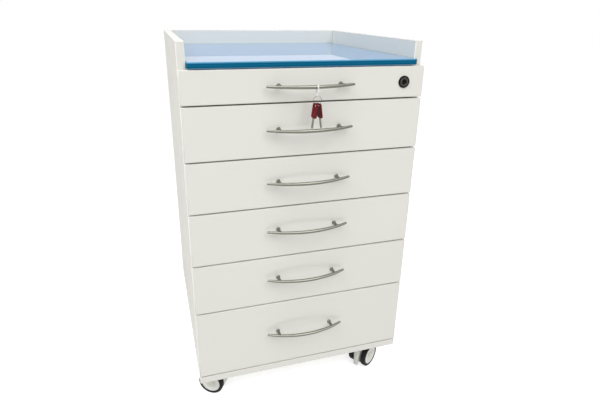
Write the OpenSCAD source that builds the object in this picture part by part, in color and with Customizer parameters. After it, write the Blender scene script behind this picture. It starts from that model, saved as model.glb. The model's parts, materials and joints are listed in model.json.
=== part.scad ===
// Mobile clinic cabinet with six drawers, a glass top in a gallery, a lock and four twin-wheel casters.
// Origin on the floor under the middle of the whole outline, +X right, -Y front, +Z up, millimetres.

/* [Carcass] */
// Width over the side panels and the drawer fronts
body_w = 500; // [440:10:600]
// Depth from the drawer faces to the back of the cabinet
body_d = 500; // [500:10:600]
// Thickness of every board of the carcass and of the drawer fronts
board_t = 16; // [15:1:18]
// Height of the gallery above the glass
gallery_h = 35; // [20:1:60]

/* [Glass] */
// Thickness of the glass top
glass_t = 12; // [6:1:12]
// Radius of the glass top's corners
glass_corner = 6; // [2:1:12]
// Thickness of the clear pads under the glass
pad_t = 1; // [1:0.5:3]

/* [Drawers] */
// Height of the top drawer, with its gap
top_h = 67; // [64:1:90]
// Height of the second and third drawers, with their gap
upper_h = 109.5; // [100:0.5:140]
// Height of the fourth and fifth drawers, with their gap
lower_h = 119; // [100:1:150]
// Height of the bottom drawer, with its gap
bottom_h = 172; // [130:1:220]
// Gap between two drawer fronts
gap = 3; // [2:0.5:4]
// How far a drawer pulls out
travel = 340; // [200:10:350]
// Thickness of a drawer's sides and back
box_t = 12; // [9:1:12]

/* [Handles] */
// Distance between a handle's two posts
post_pitch = 128; // [96:1:160]
// Length of a handle from end to end
bar_l = 180; // [164:1:190]
// Distance of the middle of the bar from the drawer face
bar_out = 30; // [28:1:36]
// Radius of the bar's bow, seen from above
bow_r = 205; // [205:5:400]
// Depth of the handle below the top edge of a middle drawer's front
handle_drop = 50; // [40:1:52]
// Depth of the handle below the top edge of the bottom drawer's front
bottom_drop = 77; // [50:1:90]

/* [Lock and keys] */
// Distance of the lock from the inner face of the right side panel
lock_side = 29; // [29:1:44]
// Diameter of the lock's front flange
flange_dia = 25; // [23:0.5:27]
// Distance of the hanging keys from the middle of the handle
key_x = 5; // [-20:1:20]

/* [Casters] */
// Height from the floor to the base board
caster_h = 70; // [70:1:80]
// Diameter of a wheel
wheel_dia = 62; // [56:1:62]
// Distance from the swivel axis to the wheel axle
trail = 17; // [14:1:18]
// Distance of the swivel axes from the cabinet's sides
caster_side = 53; // [52:1:80]
// Distance of the front swivel axes from the drawer faces
caster_front = 49; // [44:1:80]
// Distance of the rear swivel axes from the back
caster_back = 56; // [52:1:90]

/* [Hidden] */
$fn = 48;
eps = 0.01;

// Heights
base_top = caster_h + board_t;
PITCHES = [top_h, upper_h, upper_h, lower_h, lower_h, bottom_h];
function sum_of(v, n) = n <= 0 ? 0 : v[n - 1] + sum_of(v, n - 1);
face_top = base_top + sum_of(PITCHES, 6);
function front_top(n) = face_top - sum_of(PITCHES, n - 1);
function front_h(n) = PITCHES[n - 1] - gap;
function front_bottom(n) = front_top(n) - front_h(n);
shelf_rise = 1;                                // top board's face above the top drawer's edge
shelf_top = face_top + shelf_rise;
glass_bottom = shelf_top + pad_t;
glass_top_z = glass_bottom + glass_t;
gallery_top = glass_top_z + gallery_h;
glass_play = 0.5;                              // clearance of the glass to the gallery's boards
pad_r = 6;
pad_in = 30;

// Handles, and the keys hanging from the top one
bar_r = 3.5;
bar_tip = 2.8;
post_r = 4;
screw_r = 1.9;
screw_play = 0.1;
screw_hole = 2.25;
screw_head_r = 4.2;
screw_head_t = 2.4;
screw_in = 11;                                 // screw's reach into a post
function bar_y(x) = -bar_out + bow_r - sqrt(bow_r * bow_r - x * x);
function handle_z(n) = front_top(n) - (n == 1 ? front_h(1) / 2 : n == 6 ? bottom_drop : handle_drop);
key_turn = 8;                                  // the keys' faces are turned this far to the left
head_w = 20;
head_t = 2.6;
// Reach of the key heads ahead of the drawer faces
front_reach = -bar_y(key_x) + head_w / 2 * cos(key_turn) + head_t / 2 * sin(key_turn);

// Widths and depths; face_y is the plane of the drawer faces
half_w = body_w / 2;
inner_w = body_w - 2 * board_t;
face_y = (front_reach - body_d) / 2;
back_y = face_y + body_d;
seal_gap = 1;                                  // closed drawers stand this far off the carcass
carcass_y = face_y + board_t + seal_gap;
carcass_d = back_y - carcass_y;

// Runners and drawer boxes
runner_l = travel + 100;                       // the channels still overlap by 100 when pulled out
runner_back = 4;
runner_gap = 12.7;
runner_h = 35;
inner_runner_h = 25;
sheet = 1.2;
channel_depth = 9;
box_w = inner_w - 2 * runner_gap;
box_l = body_d - 50;                            // leaves the runners' stops and the back panel clear
box_lift = 8;                                  // box above the lower edge of its front
box_drop = 18;                                 // box below the upper edge of its front
bottom_t = 6;
bottom_lift = 6;                               // bottom panel above the sides' lower edges
groove = 5;                                    // the bottom panel's edges sit this deep in the sides
slack = 0.1;                                   // play of the panels in their grooves
function box_z(n) = front_bottom(n) + box_lift;
function box_h(n) = front_h(n) - box_lift - box_drop;

// Lock
lock_x = inner_w / 2 - lock_side;
lock_z = handle_z(1);
barrel_r = 9;
barrel_l = board_t + 6;                        // room for the nut behind the board
plug_r = 6;
plug_front = -2;
keyway_w = 1.8;
keyway_l = 14;
keyway_h = 7.6;
nut_t = 4;
nut_r = 12.7;
lock_room = 14;
flange_t = 2.5;
cam_y = barrel_l + 1;                          // the plug ends here, its cam against it
cam_t = 2;
cam_reach = 13.5;
cam_hub = 7.5;
cam_w = 8;
cam_screw_l = 7;
cam_screw_head_r = 4;
cam_screw_head_t = 2;
striker_y = board_t + nut_t + 0.6;             // just behind the nut, just ahead of the cam
striker_t = 1.8;
striker_h = 8;
striker_w = 10.5;
striker_foot = 16;
striker_side = 2.5;                            // reach past the lock's axis, clear of the drawer's side
running = 0.05;

// Keys: places are given down from the middle of the top handle's bar
tie_drop = 15;
tie_t = 0.9;
tie_w = 3;
tie_play = 0.25;                               // clearance of the tie's loop round the bar
eye_drop = 2.2;                                // middle of the tie's lower end, below its stem
eye_r = 1.3;
ring_r = 8.2;
wire_r = 0.6;
ring_drop = 2.5;                               // the ring's wire lies in the lower end of the tie
ring_z = -tie_drop - ring_drop - ring_r;
key_step = 3.2;
key_drop = 1.7;                                // middle of a key's hole below the wire
key_tilt = 8;
head_l = 29;
head_hole = 3;
head_above = 4.2;
blade_l = 21;
blade_w = 7;
blade_t = 1.6;
blade_tip = 3;
cut_first = 5;
cut_pitch = 3.2;
head_corner = 4;
hang_y = face_y + bar_y(key_x);

// Casters: the wheel's axle is at x = trail, its wheels on both sides of y = 0
wheel_r = wheel_dia / 2;
hub_r = wheel_r - 6;
tyre_in = 11.4;
tyre_out = 25;
shoulder = 2.5;
hub_cap = 1.5;                                 // the hub's closed face over the end of the axle
hood_half = 10;
hood_r = wheel_r - 2;
pin_r = 4;
axle_r = 3;
plate_w = 46;
plate_t = 2.5;
plate_hole = 17;
cap_r = 16;
cap_t = 2.2;
body_l = 26;                                   // length of the hood round the kingpin, above its disc
body_back = 12;
boss_r = 9;
boss_h = 2;
plate_screw_l = 13;
plate_head_r = 3.8;
plate_head_t = 1.8;
cap_z = caster_h - plate_t - boss_h - 0.3;     // top of the swivel cap, just under the plate's boss
tail_top = 52;
tail_low = 6;
tail_out = 4;
tail_w = 16;
tail_foot = 11;                                // width of the tail's lower end
skirt_z = 19;                                  // below this height the hood's back slants in
skirt_low = 4.5;
skirt_x = 4;
CASTERS = [[-1, -1, 148], [1, -1, -147], [-1, 1, 125], [1, 1, -169]];

WHITE = [0.93, 0.93, 0.9];
STEEL = [0.75, 0.76, 0.78];

module block(x, y, z, at) { translate(at) cube([x, y, z]); }
module rod_y(r, y0, y1) { translate([0, y0, 0]) rotate([-90, 0, 0]) cylinder(r = r, h = y1 - y0); }
module rounded(w, d, r) {
    for (x = [r, w - r]) for (y = [r, d - r]) translate([x, y]) circle(r);
    translate([r, 0]) square([w - 2 * r, d]);
    translate([0, r]) square([w, d - 2 * r]);
}

// Carcass
module side_panel(side) {
    color(WHITE) block(board_t, carcass_d, gallery_top - base_top,
        [side < 0 ? -half_w : half_w - board_t, carcass_y, base_top]);
}
module back_panel() {
    color(WHITE) block(inner_w, board_t, gallery_top - base_top, [-inner_w / 2, back_y - board_t, base_top]);
}
module top_board() {
    color(WHITE) block(inner_w, carcass_d - board_t, board_t, [-inner_w / 2, carcass_y, shelf_top - board_t]);
}
module base_board() {
    color(WHITE) difference() {
        block(body_w, body_d, board_t, [-half_w, face_y, caster_h]);
        at_casters() plate_corners() translate([0, 0, caster_h - eps])
            cylinder(r = screw_r + screw_play, h = plate_screw_l);
    }
}

// Glass top, a little narrower than the gallery, its front edge over the drawer faces
module glass_top() {
    w = inner_w - 2 * glass_play;
    d = body_d - board_t - glass_play;
    color([0.35, 0.68, 0.85, 0.5]) translate([-w / 2, face_y, glass_bottom])
        linear_extrude(glass_t) rounded(w, d, glass_corner);
}
module glass_pads() {
    for (x = [-1, 0, 1]) for (y = [carcass_y + pad_in, back_y - board_t - pad_in])
        color([0.9, 0.93, 0.95]) translate([x * (inner_w / 2 - pad_in), y, shelf_top])
            cylinder(r = pad_r, h = pad_t);
}

// Runners: a channel on the cabinet side and a smaller one on the drawer, open towards each other
module channel(h) {
    block(sheet, runner_l, h, [0, 0, -h / 2]);
    for (z = [-h / 2, h / 2 - sheet]) block(channel_depth, runner_l, sheet, [0, 0, z]);
}
module place_runner(n, side) {
    translate([0, carcass_y + runner_back, box_z(n) + runner_h / 2])
        mirror([side < 0 ? 1 : 0, 0, 0]) children();
}
module cabinet_runners() {
    color(STEEL) for (n = [1:6]) for (side = [-1, 1]) place_runner(n, side)
        translate([inner_w / 2, 0, 0]) mirror([1, 0, 0]) channel(runner_h);
}
module drawer_runners(n) {
    color(STEEL) for (side = [-1, 1]) place_runner(n, side)
        translate([box_w / 2, 0, 0]) channel(inner_runner_h);
}

// Drawers
module drawer_front(n) {
    color(WHITE) translate([0, face_y, 0]) difference() {
        block(body_w, board_t, front_h(n), [-half_w, 0, front_bottom(n)]);
        for (x = [-1, 1]) translate([x * post_pitch / 2, 0, handle_z(n)])
            rod_y(screw_hole, -eps, board_t + eps);
        if (n == 1) translate([lock_x, 0, lock_z]) rod_y(barrel_r, -eps, board_t + eps);
    }
}
module drawer_box(n) {
    y0 = face_y + board_t;
    h = box_h(n);
    in_w = box_w - 2 * box_t;
    bottom_z = box_z(n) + bottom_lift;
    color([0.9, 0.9, 0.88]) {
        for (side = [0, 1]) mirror([side, 0, 0]) difference() {
            block(box_t, box_l, h, [box_w / 2 - box_t, y0, box_z(n)]);
            block(groove + eps, box_l + 2 * eps, bottom_t + 2 * slack,
                [box_w / 2 - box_t - eps, y0 - eps, bottom_z - slack]);
            if (n == 1 && side == 0) translate([lock_x, y0, lock_z]) rod_y(lock_room, -eps, barrel_l);
        }
        block(in_w + 2 * groove - 2 * slack, box_l, bottom_t, [-in_w / 2 - groove + slack, y0, bottom_z]);
        block(in_w - 2 * slack, box_t, h - bottom_lift - bottom_t - slack,
            [-in_w / 2 + slack, y0 + box_l - box_t, bottom_z + bottom_t + slack]);
    }
}

// Handle: a round bar bowed forward on two posts, each held by a screw from inside
module handle(n) {
    half = asin(bar_l / 2 / bow_r);
    color([0.72, 0.72, 0.7]) translate([0, face_y, handle_z(n)]) {
        difference() {
            union() {
                translate([0, bow_r - bar_out, 0]) rotate([0, 0, -90 - half])
                    rotate_extrude(angle = 2 * half, $fn = 96) translate([bow_r, 0]) circle(bar_r);
                for (side = [0, 1]) mirror([side, 0, 0]) {
                    translate([bar_l / 2, bar_y(bar_l / 2), 0]) rotate([0, 90, half])
                        translate([0, 0, -0.5]) rotate_extrude() intersection() {
                            circle(bar_tip);
                            square(bar_tip);
                        }
                    translate([post_pitch / 2, 0, 0]) rod_y(post_r, bar_y(post_pitch / 2), 0);
                }
            }
            for (x = [-1, 1]) translate([x * post_pitch / 2, 0, 0])
                rod_y(screw_r + screw_play, -screw_in - 1, eps);
        }
        for (x = [-1, 1]) translate([x * post_pitch / 2, 0, 0]) {
            rod_y(screw_r, -screw_in, board_t);
            rod_y(screw_head_r, board_t, board_t + screw_head_t);
        }
    }
}

// Lock: all its pieces are round the lock's axis, measured from the drawer face
module at_lock() { translate([lock_x, face_y, lock_z]) children(); }
module lock_body() {
    color([0.12, 0.12, 0.12]) at_lock() difference() {
        union() {
            rod_y(flange_dia / 2, -flange_t, 0);
            rod_y(barrel_r, -eps, barrel_l);
        }
        rod_y(plug_r + running, -flange_t - eps, barrel_l + eps);
    }
}
module lock_nut() {
    color(STEEL) at_lock() difference() {
        translate([0, board_t, 0]) rotate([-90, 0, 0]) cylinder(r = nut_r, h = nut_t, $fn = 6);
        rod_y(barrel_r, board_t - eps, board_t + nut_t + eps);
    }
}
module lock_plug() {
    color([0.2, 0.2, 0.2]) at_lock() difference() {
        rod_y(plug_r, plug_front, cam_y);
        block(keyway_w, keyway_l, keyway_h, [-keyway_w / 2, plug_front - eps, -keyway_h / 2]);
        rod_y(screw_r + screw_play, cam_y - cam_screw_l - 1, cam_y + eps);
    }
}
module lock_cam() {
    color(STEEL) at_lock() {
        difference() {
            union() {
                rod_y(cam_hub, cam_y, cam_y + cam_t);
                block(cam_reach, cam_t, cam_w, [-cam_reach, cam_y, -cam_w / 2]);
            }
            rod_y(screw_r + screw_play, cam_y - eps, cam_y + cam_t + eps);
        }
        rod_y(screw_r, cam_y - cam_screw_l, cam_y + cam_t);
        rod_y(cam_screw_head_r, cam_y + cam_t, cam_y + cam_t + cam_screw_head_t);
    }
}
module lock_striker() {
    under = shelf_top - board_t;
    color(STEEL) translate([lock_x + striker_side - striker_w, face_y + striker_y, 0]) {
        block(striker_w, striker_t, striker_h, [0, 0, under - striker_h]);
        block(striker_w, striker_foot, striker_t, [0, 0, under - striker_t]);
    }
}

// Keys on a ring, tied to the top handle
module at_keys() { translate([key_x, hang_y, handle_z(1)]) children(); }
module tie_outline(grow) {
    hull() {
        circle(bar_r + tie_play + grow, $fn = 32);
        translate([0, -tie_drop - eye_drop]) circle(eye_r + grow, $fn = 24);
    }
}
module key_tie() {
    color([0.95, 0.95, 0.93]) at_keys() translate([-tie_w / 2, 0, 0]) rotate([90, 0, 90])
        linear_extrude(tie_w) difference() { tie_outline(tie_t); tie_outline(0); }
}
module key_ring() {
    color(STEEL) at_keys() translate([0, 0, ring_z]) rotate([90, 0, 0])
        rotate_extrude() translate([ring_r, 0]) circle(wire_r, $fn = 24);
}
// A key hangs from the ring's wire: it is drawn in the XZ plane, its hole at the origin
module key_shape() {
    color([0.5, 0.05, 0.1]) rotate([90, 0, 0]) translate([0, 0, -head_t / 2]) linear_extrude(head_t)
        difference() {
            translate([-head_w / 2, head_above - head_l]) rounded(head_w, head_l, head_corner);
            circle(head_hole);
        }
    color(STEEL) translate([0, 0, head_above - head_l - blade_l]) rotate([90, 0, 0])
        translate([-blade_w / 2, 0, -blade_t / 2]) linear_extrude(blade_t) difference() {
            polygon([[0, blade_tip], [blade_w / 2, 0], [blade_w, blade_tip],
                [blade_w, blade_l], [0, blade_l]]);
            for (i = [0:3]) translate([blade_w, cut_first + cut_pitch * i]) rotate(45)
                square(1.2 + 0.4 * (i % 2), center = true);
        }
}
module key(side) {
    wire_z = ring_z - sqrt(ring_r * ring_r - key_step * key_step);
    at_keys() translate([side * key_step, 0, wire_z - key_drop]) rotate([0, -side * key_tilt, 0])
        rotate([0, 0, 90 + key_turn]) key_shape();
}

// Casters: children are drawn at the swivel axis on the floor, wheels towards +X
module at_caster(n) {
    c = CASTERS[n - 1];
    translate([c[0] * (half_w - caster_side), c[1] < 0 ? face_y + caster_front : back_y - caster_back, 0])
        rotate([0, 0, c[2]]) children();
}
// The plates stand square to the cabinet
module at_casters() {
    for (n = [1:4]) at_caster(n) rotate([0, 0, -CASTERS[n - 1][2]]) children();
}
module plate_corners() {
    for (x = [-1, 1]) for (y = [-1, 1]) translate([x * plate_hole, y * plate_hole, 0]) children();
}
module caster_plates() {
    color(STEEL) at_casters() difference() {
        union() {
            translate([-plate_w / 2, -plate_w / 2, caster_h - plate_t])
                linear_extrude(plate_t) rounded(plate_w, plate_w, 5);
            translate([0, 0, caster_h - plate_t - boss_h]) cylinder(r = boss_r, h = boss_h + eps);
        }
        translate([0, 0, wheel_r]) cylinder(r = pin_r, h = caster_h);
        plate_corners() translate([0, 0, caster_h - plate_t - eps])
            cylinder(r = screw_hole, h = plate_t + 2 * eps);
    }
}
module caster_kingpins() {
    color(STEEL) at_casters() translate([0, 0, wheel_r]) cylinder(r = pin_r, h = caster_h - wheel_r);
}
module caster_screws() {
    color(STEEL) at_casters() plate_corners() {
        translate([0, 0, caster_h - plate_t - plate_head_t]) cylinder(r = plate_head_r, h = plate_head_t);
        translate([0, 0, caster_h - plate_t - eps]) cylinder(r = screw_r, h = plate_screw_l);
    }
}
module caster_hood(n) {
    color([0.82, 0.83, 0.8]) at_caster(n) difference() {
        union() {
            translate([trail, 0, wheel_r]) rod_y(hood_r, -hood_half, hood_half);
            hood_side() polygon([[-body_back, cap_z], [-body_back, skirt_z], [-skirt_x, skirt_low],
                [trail - 2 * skirt_x, skirt_low], [trail, wheel_r], [body_l - body_back, cap_z]]);
            translate([0, 0, cap_z - cap_t]) cylinder(r = cap_r, h = cap_t);
            hood_tail();
        }
        translate([0, 0, wheel_r - 2]) cylinder(r = pin_r + running, h = caster_h);
        translate([trail, 0, wheel_r]) rod_y(axle_r + running, -hood_half - 1, hood_half + 1);
    }
}
// Shapes seen from the wheels' side, as thick as the hood
module hood_side() {
    rotate([90, 0, 0]) translate([0, 0, -hood_half]) linear_extrude(2 * hood_half) children();
}
// The hood's tail hangs behind the wheels and narrows towards the floor
module hood_tail() {
    x0 = trail + hood_r;
    intersection() {
        hood_side() polygon([[x0 - 12, tail_top - 2], [x0 - 1, tail_top], [x0 + tail_out, tail_low + 2],
            [x0 + tail_out - 2, tail_low], [x0 + tail_out - 4.5, tail_low + 2], [x0 - 3, wheel_r]]);
        rotate([90, 0, 90]) linear_extrude(x0 + tail_out)
            polygon([[-tail_w / 2, tail_top], [tail_w / 2, tail_top], [tail_foot / 2, tail_low - 1],
                [-tail_foot / 2, tail_low - 1]]);
    }
}
module at_axle(n) { at_caster(n) translate([trail, 0, wheel_r]) children(); }
module caster_axle(n) {
    color(STEEL) at_axle(n) rod_y(axle_r, hub_cap - tyre_out, tyre_out - hub_cap);
}
module both_wheels() {
    for (side = [-1, 1]) rotate([0, 0, side < 0 ? 180 : 0]) rotate([-90, 0, 0]) rotate_extrude() children();
}
module caster_hubs(n) {
    color([0.9, 0.9, 0.88]) at_axle(n) both_wheels() {
        translate([axle_r, tyre_in]) square([hub_r - axle_r, tyre_out - tyre_in - hub_cap]);
        translate([0, tyre_out - hub_cap]) square([hub_r, hub_cap]);
    }
}
module caster_tyres(n) {
    color([0.08, 0.08, 0.08]) at_axle(n) both_wheels() {
        translate([hub_r, tyre_in]) square([wheel_r - shoulder - hub_r, tyre_out - tyre_in]);
        translate([hub_r, tyre_in + shoulder]) square([wheel_r - hub_r, tyre_out - tyre_in - 2 * shoulder]);
        for (y = [tyre_in + shoulder, tyre_out - shoulder])
            translate([wheel_r - shoulder, y]) circle(shoulder);
    }
}

side_panel(-1);  // side_panel_left
side_panel(1);  // side_panel_right
back_panel();
top_board();
base_board();
glass_top();
glass_pads();
cabinet_runners();
lock_striker();
caster_plates();
caster_kingpins();
caster_screws();
lock_body();
lock_nut();
lock_plug();
lock_cam();
key_tie();
key_ring();
key(-1);  // key_1
key(1);  // key_2
for (n = [1:6]) {
    drawer_front(n);
    drawer_box(n);
    drawer_runners(n);
    handle(n);
}
for (n = [1:4]) {
    caster_hood(n);
    caster_axle(n);
    caster_hubs(n);
    caster_tyres(n);
}
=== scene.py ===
import json
import math

import bmesh
import bpy
from bpy.props import FloatProperty, FloatVectorProperty, IntProperty, PointerProperty
from mathutils import Matrix, Vector

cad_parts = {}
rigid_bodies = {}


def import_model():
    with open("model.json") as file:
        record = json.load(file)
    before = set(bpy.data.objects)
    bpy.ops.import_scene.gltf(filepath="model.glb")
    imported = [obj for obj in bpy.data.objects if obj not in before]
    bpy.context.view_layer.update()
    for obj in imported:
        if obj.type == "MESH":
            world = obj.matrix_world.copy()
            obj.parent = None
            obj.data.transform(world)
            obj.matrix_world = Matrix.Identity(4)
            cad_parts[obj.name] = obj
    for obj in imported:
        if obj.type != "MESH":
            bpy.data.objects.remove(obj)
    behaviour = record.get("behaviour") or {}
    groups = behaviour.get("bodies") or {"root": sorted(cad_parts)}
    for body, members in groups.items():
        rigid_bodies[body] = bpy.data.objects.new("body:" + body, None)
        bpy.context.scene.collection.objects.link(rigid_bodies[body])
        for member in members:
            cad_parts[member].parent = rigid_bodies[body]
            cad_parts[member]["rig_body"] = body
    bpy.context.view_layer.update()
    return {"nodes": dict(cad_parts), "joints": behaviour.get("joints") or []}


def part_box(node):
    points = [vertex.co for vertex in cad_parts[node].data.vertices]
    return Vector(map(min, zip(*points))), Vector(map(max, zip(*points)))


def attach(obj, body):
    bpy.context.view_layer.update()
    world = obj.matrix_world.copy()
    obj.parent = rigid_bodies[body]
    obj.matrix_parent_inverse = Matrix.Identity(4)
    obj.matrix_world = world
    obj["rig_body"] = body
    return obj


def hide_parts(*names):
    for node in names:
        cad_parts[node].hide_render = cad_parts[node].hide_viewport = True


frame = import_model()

bl_info = {
    "name": "Clinic Drawer Cabinet",
    "version": (1, 0, 0),
    "blender": (4, 5, 0),
    "location": "3D View > Sidebar > Cabinet",
    "description": "Finishes a clinic cabinet: boards, glass, handles, lock, keys and casters",
    "category": "Object",
}

MM = 0.001
NODES = frame["nodes"]
JOINTS = {joint["name"]: joint for joint in frame["joints"]}
DRAWERS = range(1, 7)
CASTERS = range(1, 5)

# Places that are read off the frame
FACE_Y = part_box("drawer_front_1")[0].y
LOCK_AT = Vector(JOINTS["lock_turn"]["pos_m"])
KEYS_AT = Vector(JOINTS["key_loop_swing"]["pos_m"])

# Sizes that the solids have too
POST_X = 64 * MM
BOW, BAR_LENGTH, BAR_R = 205 * MM, 182 * MM, 3.5 * MM
FLANGE_R, BARREL_R, PLUG_R = 12.5 * MM, 9 * MM, 6 * MM
BORE_R = PLUG_R + 0.05 * MM
HEAD, HEAD_ABOVE, HEAD_HOLE = (20 * MM, 29 * MM, 2.6 * MM), 4.2 * MM, 3 * MM
BLADE, BLADE_TIP = (7 * MM, 21 * MM, 1.6 * MM), 3 * MM
FIRST_CUT, CUT_PITCH = 5 * MM, 3.2 * MM
KEY_TURN, KEY_TILT, KEY_DROP = math.radians(98), math.radians(8), 1.7 * MM
HUB_R, TYRE_IN, TYRE_OUT, AXLE_R = 25 * MM, 11.4 * MM, 25 * MM, 3 * MM
PLATE_HOLE, PLATE_T, BASE_Z = 17 * MM, 2.5 * MM, 70 * MM
SHEET, CHANNEL_DEPTH = 1.2 * MM, 9 * MM

# Radius and height of each kind of screw head
RUNNER_SCREW = (3.2 * MM, 1.5 * MM)
HANDLE_SCREW = (4.2 * MM, 2.4 * MM)
PLATE_SCREW = (3.8 * MM, 1.8 * MM)
SCREWS_ALONG = (0.1, 0.48, 0.86)  # places of a channel's screws, as shares of its length

# Rounding of the edges that no setting changes
BOX_EDGE, CHANNEL_EDGE, FITTING_EDGE = 0.5 * MM, 0.3 * MM, 0.4 * MM
SHORT_EDGE = 1.5 * MM  # on small fittings, edges shorter than this stay sharp

# The camera: frame size, focal length and optical centre in pixels, and its turn in degrees
FRAME_W, FRAME_H = 600, 400
FOCAL, CENTRE = 461.4, (293.8, 187.5)
YAW, PITCH, ROLL = 17.29, -21.02, 0.89
CAMERA_AT = (-0.2987, -1.0922, 0.8853)

CARCASS = ("side_panel_left", "side_panel_right", "back_panel", "top_board", "base_board")
SMOOTH_BELOW = 32  # degrees; a sharper edge stays sharp
Y, Z = 1, 2  # places of these coordinates in a point


# ---------------------------------------------------------------- materials

def add_node(mat, kind, inputs=None, **attributes):
    """Adds a shader node; an input is either a value or the socket that feeds it."""
    item = mat.node_tree.nodes.new(kind)
    for name, value in attributes.items():
        setattr(item, name, value)
    for name, value in (inputs or {}).items():
        if isinstance(value, bpy.types.NodeSocket):
            mat.node_tree.links.new(value, item.inputs[name])
        else:
            item.inputs[name].default_value = value
    return item


def new_material(name, colour, roughness, **sockets):
    """A material and its main shader, with each socket's plain value set on it."""
    mat = bpy.data.materials.new(name)
    mat.use_nodes = True
    shader = mat.node_tree.nodes["Principled BSDF"]
    shader.inputs["Base Color"].default_value = (*colour[:3], 1)
    shader.inputs["Roughness"].default_value = roughness
    for socket, value in sockets.items():
        title = socket.replace("_", " ").title().replace("Ior", "IOR")
        shader.inputs[title].default_value = value
    mat.diffuse_color = (*colour[:3], 1)
    return mat, shader


def grain(mat, scale, stretch=(1, 1, 1), detail=3.0):
    """Noise on the piece's own coordinates, in cells per metre."""
    place = add_node(mat, "ShaderNodeTexCoord").outputs["Object"]
    laid = add_node(mat, "ShaderNodeMapping", {"Vector": place, "Scale": stretch}).outputs["Vector"]
    noise = add_node(mat, "ShaderNodeTexNoise", {"Vector": laid, "Scale": scale, "Detail": detail})
    return noise.outputs["Fac"]


def height(mat):
    """Height in the piece, in metres."""
    place = add_node(mat, "ShaderNodeTexCoord").outputs["Object"]
    return add_node(mat, "ShaderNodeSeparateXYZ", {"Vector": place}).outputs["Z"]


def spread(mat, value, low, high, start=0.3, end=0.7):
    """Maps a pattern's middle range onto low to high."""
    ranges = {"Value": value, "From Min": start, "From Max": end, "To Min": low, "To Max": high}
    return add_node(mat, "ShaderNodeMapRange", ranges).outputs["Result"]


def tint(mat, shader, value, stops):
    """Colours the shader by a pattern, through stops of (position, colour)."""
    ramp = add_node(mat, "ShaderNodeValToRGB", {"Fac": value})
    elements = ramp.color_ramp.elements
    while len(elements) < len(stops):
        elements.new(1.0)
    for element, (position, colour) in zip(elements, stops):
        element.position = position
        element.color = (*colour[:3], 1)
    mat.node_tree.links.new(ramp.outputs["Color"], shader.inputs["Base Color"])


def shades(colour, dark, light):
    """The two ends of a colour's small variation."""
    return [(0.3, [c * dark for c in colour[:3]]), (0.7, [c * light for c in colour[:3]])]


def gloss(mat, shader, value, low, high):
    """Varies the roughness between two levels with a pattern."""
    mat.node_tree.links.new(spread(mat, value, low, high), shader.inputs["Roughness"])


def relief(mat, shader, value, depth, strength=0.5):
    """Bump of a real depth in metres."""
    sockets = {"Height": value, "Distance": depth, "Strength": strength}
    bump = add_node(mat, "ShaderNodeBump", sockets)
    mat.node_tree.links.new(bump.outputs["Normal"], shader.inputs["Normal"])


def lacquered_board(name, colour, roughness, shine):
    """White lacquered board: a faint waviness and wiped patches in the shine."""
    mat, shader = new_material(name, colour, roughness, specular_ior_level=shine)
    tint(mat, shader, grain(mat, 5), shades(colour, 0.985, 1.0))
    gloss(mat, shader, grain(mat, 14, detail=5), roughness - 0.04, roughness + 0.06)
    relief(mat, shader, grain(mat, 90, detail=2), 0.06 * MM, 0.25)
    return mat


def melamine_board(colour):
    """Drawer box board: satin, with fine pores."""
    mat, shader = new_material("melamine_board", colour, 0.45)
    tint(mat, shader, grain(mat, 12), shades(colour, 0.97, 1.0))
    gloss(mat, shader, grain(mat, 60), 0.38, 0.52)
    relief(mat, shader, grain(mat, 1600), 0.04 * MM)
    return mat


def glass_surface(colour):
    """Polished tinted glass with a few wiped streaks."""
    mat, shader = new_material("glass_surface", colour, 0.02, ior=1.5, transmission_weight=0.4,
                               specular_ior_level=0.35)
    tint(mat, shader, grain(mat, 4), shades(colour, 0.97, 1.0))
    gloss(mat, shader, grain(mat, 8, (1, 4, 1), 4), 0.0, 0.035)
    return mat


def glass_edge(deep, bright, low, high):
    """The plate's edge: deep colour in its body, with painted highlights along it: a pale line at
    the bottom arris, lighter bands low and in the middle, and a bright line at the top arris.
    """
    mat, shader = new_material("glass_edge", deep, 0.1, specular_ior_level=0.03)
    # Painted highlights by height up the edge, from the bottom (0) to the top (1); only the deep
    # colour between them is the glass's own.
    across = spread(mat, height(mat), 0.0, 1.0, low, high)
    lit = [d + (b - d) * share for d, b, share in zip(deep, bright, (0.03, 0.2, 0.2))]
    pale = [0.4 + b * 0.35 for b in bright[:3]]
    tint(mat, shader, across, [(0.0, pale), (0.1, lit), (0.25, deep),
                               (0.5, lit), (0.72, deep), (0.9, bright)])
    gloss(mat, shader, grain(mat, 120), 0.05, 0.14)
    relief(mat, shader, grain(mat, 60, (1, 1, 0.2)), 0.1 * MM, 0.3)
    return mat


def soft_pad(colour):
    """Clear soft pad under the glass."""
    mat, shader = new_material("soft_pad", colour, 0.25, transmission_weight=0.6, ior=1.45)
    gloss(mat, shader, grain(mat, 300), 0.2, 0.35)
    return mat


def satin_nickel(colour, painted_shade):
    """Brushed, plated bar: fine lines along it, and painted shade by height round the bar: a darker
    line along its top and a darker lower half.
    """
    mat, shader = new_material("satin_nickel", colour, 0.4, metallic=1.0)
    # Painted shade: the underside attribute runs from the bar's top (0) to its bottom (1). The ramp
    # paints a darker line along the top, the plain nickel on the upper half, painted shade on the
    # lower half and a little less of it at the very bottom.
    under = add_node(mat, "ShaderNodeAttribute", attribute_name="underside").outputs["Fac"]
    edge = [c * 1.5 for c in painted_shade[:3]]
    tint(mat, shader, under, [(0.0, edge), (0.1, colour), (0.3, colour),
                              (0.42, painted_shade), (0.6, painted_shade), (0.8, edge)])
    gloss(mat, shader, grain(mat, 500, (0.05, 1, 1), 2), 0.34, 0.46)
    relief(mat, shader, grain(mat, 1500, (0.03, 1, 1), 2), 0.02 * MM, 0.3)
    return mat


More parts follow.
